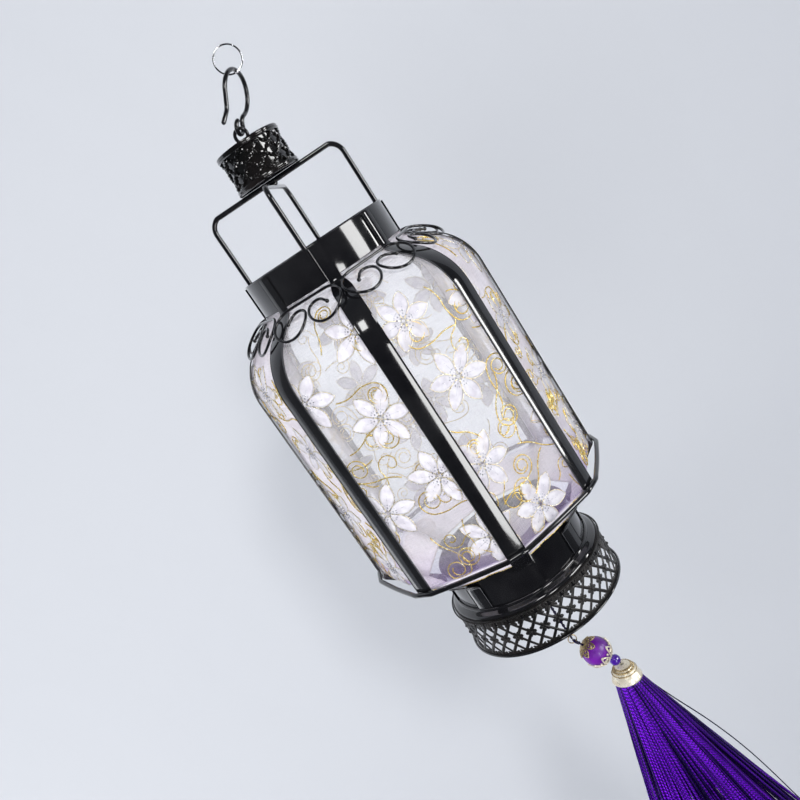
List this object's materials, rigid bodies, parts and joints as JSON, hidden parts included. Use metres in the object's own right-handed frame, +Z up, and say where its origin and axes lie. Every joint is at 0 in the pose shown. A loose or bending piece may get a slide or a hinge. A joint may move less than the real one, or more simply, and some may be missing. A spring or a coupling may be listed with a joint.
{
  "type": "hanging palace lantern",
  "caption": "Small hanging palace lantern with a ribbed black frame, sheer fabric shade, filigree crown and base, beaded tassel, lift-out tea light, wire hook and split ring.",
  "frame": {"origin": "centre of the split ring the lantern hangs from", "axes": "+Z up along the lantern axis, +X to the side the hook leans and the bead strand falls to, -Y the front with a rib facing it"},
  "size_m": [0.1248, 0.1248, 0.5028],
  "materials": {
    "black_gloss": "gloss black enamel on steel, soft reflections",
    "bright_steel": "bright nickel plate",
    "shade_cloth": "sheer pale lilac organza with white petals and gold thread",
    "white_plastic": "matte white moulding",
    "clear_lens": "clear resin lens",
    "warm_diffuser": "translucent warm drop",
    "cell_steel": "brushed",
    "strip_brass": "thin sprung strip",
    "black_plastic": "matte",
    "purple_silk": "silky twisted thread with a violet sheen",
    "gold_wire": "polished gilt wire",
    "gold_filigree": "worn pale gilt over pressed lace pattern",
    "violet_bead": "pearly gloss"
  },
  "bodies": {
    "ring": {"hang_ring": "bright_steel"},
    "hook": {"hook": "black_gloss"},
    "crown_eye": {"crown_eye": "black_gloss", "crown_eye_washer": "bright_steel"},
    "lantern": {"crown_cap": "black_gloss", "crown_band": "black_gloss", "crown_base": "black_gloss", "yoke_wire_upper": "black_gloss", "yoke_wire_lower": "black_gloss", "collar_band": "black_gloss", "rib_1": "black_gloss", "rib_2": "black_gloss", "rib_3": "black_gloss", "rib_4": "black_gloss", "rib_5": "black_gloss", "rib_6": "black_gloss", "rib_7": "black_gloss", "rib_8": "black_gloss", "scroll_1": "black_gloss", "scroll_2": "black_gloss", "scroll_3": "black_gloss", "scroll_4": "black_gloss", "scroll_5": "black_gloss", "scroll_6": "black_gloss", "scroll_7": "black_gloss", "scroll_8": "black_gloss", "lower_ring": "black_gloss", "shade_panel_1": "shade_cloth", "shade_panel_2": "shade_cloth", "shade_panel_3": "shade_cloth", "shade_panel_4": "shade_cloth", "shade_panel_5": "shade_cloth", "shade_panel_6": "shade_cloth", "shade_panel_7": "shade_cloth", "shade_panel_8": "shade_cloth", "neck_band": "black_gloss", "base_plate": "black_gloss", "gallery_band": "black_gloss", "gallery_rope": "black_gloss", "foot_ring": "black_gloss", "lamp_cup": "black_gloss", "tassel_eye": "black_gloss"},
    "tea_light": {"light_case": "white_plastic", "light_floor": "white_plastic", "light_hatch": "white_plastic", "light_cell": "cell_steel", "light_spring": "strip_brass", "light_strip": "strip_brass", "light_led": "clear_lens", "light_flame": "warm_diffuser"},
    "light_switch": {"light_switch": "black_plastic"},
    "tassel_cord": {"tassel_cord": "purple_silk"},
    "tassel_link": {"tassel_link": "gold_wire"},
    "bead_strand": {"strand_cord": "purple_silk", "bead_cap_upper": "gold_filigree", "bead_cap_lower": "gold_filigree"},
    "big_bead": {"big_bead": "violet_bead"},
    "small_bead": {"small_bead": "violet_bead"},
    "tassel_head": {"tassel_cap": "gold_filigree", "tassel_skirt": "purple_silk"}
  },
  "joints": [
    {"name": "hook_swing", "type": "hinge", "parent": "ring", "child": "hook", "pos_m": [-0.00084, 0, -0.00599], "axis": [0.9903, 0, -0.1392], "range_deg": [-45, 45]},
    {"name": "lantern_swing", "type": "hinge", "parent": "hook", "child": "crown_eye", "pos_m": [-0.01279, 0, -0.02675], "axis": [0, 1, 0], "range_deg": [-30, 45]},
    {"name": "lantern_turn", "type": "hinge", "parent": "crown_eye", "child": "lantern", "pos_m": [-0.01279, 0, -0.03285], "axis": [0, 0, 1], "continuous": true},
    {"name": "light_lift", "type": "slide", "parent": "lantern", "child": "tea_light", "axis": [0, 0, 1], "range_m": [0, 0.03]},
    {"name": "switch_slide", "type": "slide", "parent": "tea_light", "child": "light_switch", "axis": [0, 1, 0], "range_m": [0, 0.003]},
    {"name": "cord_swing", "type": "hinge", "parent": "lantern", "child": "tassel_cord", "pos_m": [-0.01279, 0, -0.2692], "axis": [0, 1, 0], "range_deg": [-40, 40]},
    {"name": "link_sway", "type": "hinge", "parent": "tassel_cord", "child": "tassel_link", "pos_m": [-0.01279, 0, -0.31345], "axis": [1, 0, 0], "range_deg": [-40, 40]},
    {"name": "strand_swing", "type": "hinge", "parent": "tassel_link", "child": "bead_strand", "pos_m": [-0.01279, 0, -0.3165], "axis": [0, 1, 0], "range_deg": [-20, 60]},
    {"name": "tassel_bend", "type": "hinge", "parent": "bead_strand", "child": "tassel_head", "pos_m": [0.00149, 0, -0.34226], "axis": [0, 1, 0], "range_deg": [-38, 10]},
    {"name": "big_bead_spin", "type": "hinge", "parent": "bead_strand", "child": "big_bead", "pos_m": [-0.0061, 0, -0.32857], "axis": [-0.4848, 0, 0.8746], "continuous": true},
    {"name": "small_bead_spin", "type": "hinge", "parent": "bead_strand", "child": "small_bead", "pos_m": [-0.0004, 0, -0.33885], "axis": [-0.4848, 0, 0.8746], "continuous": true}
  ]
}
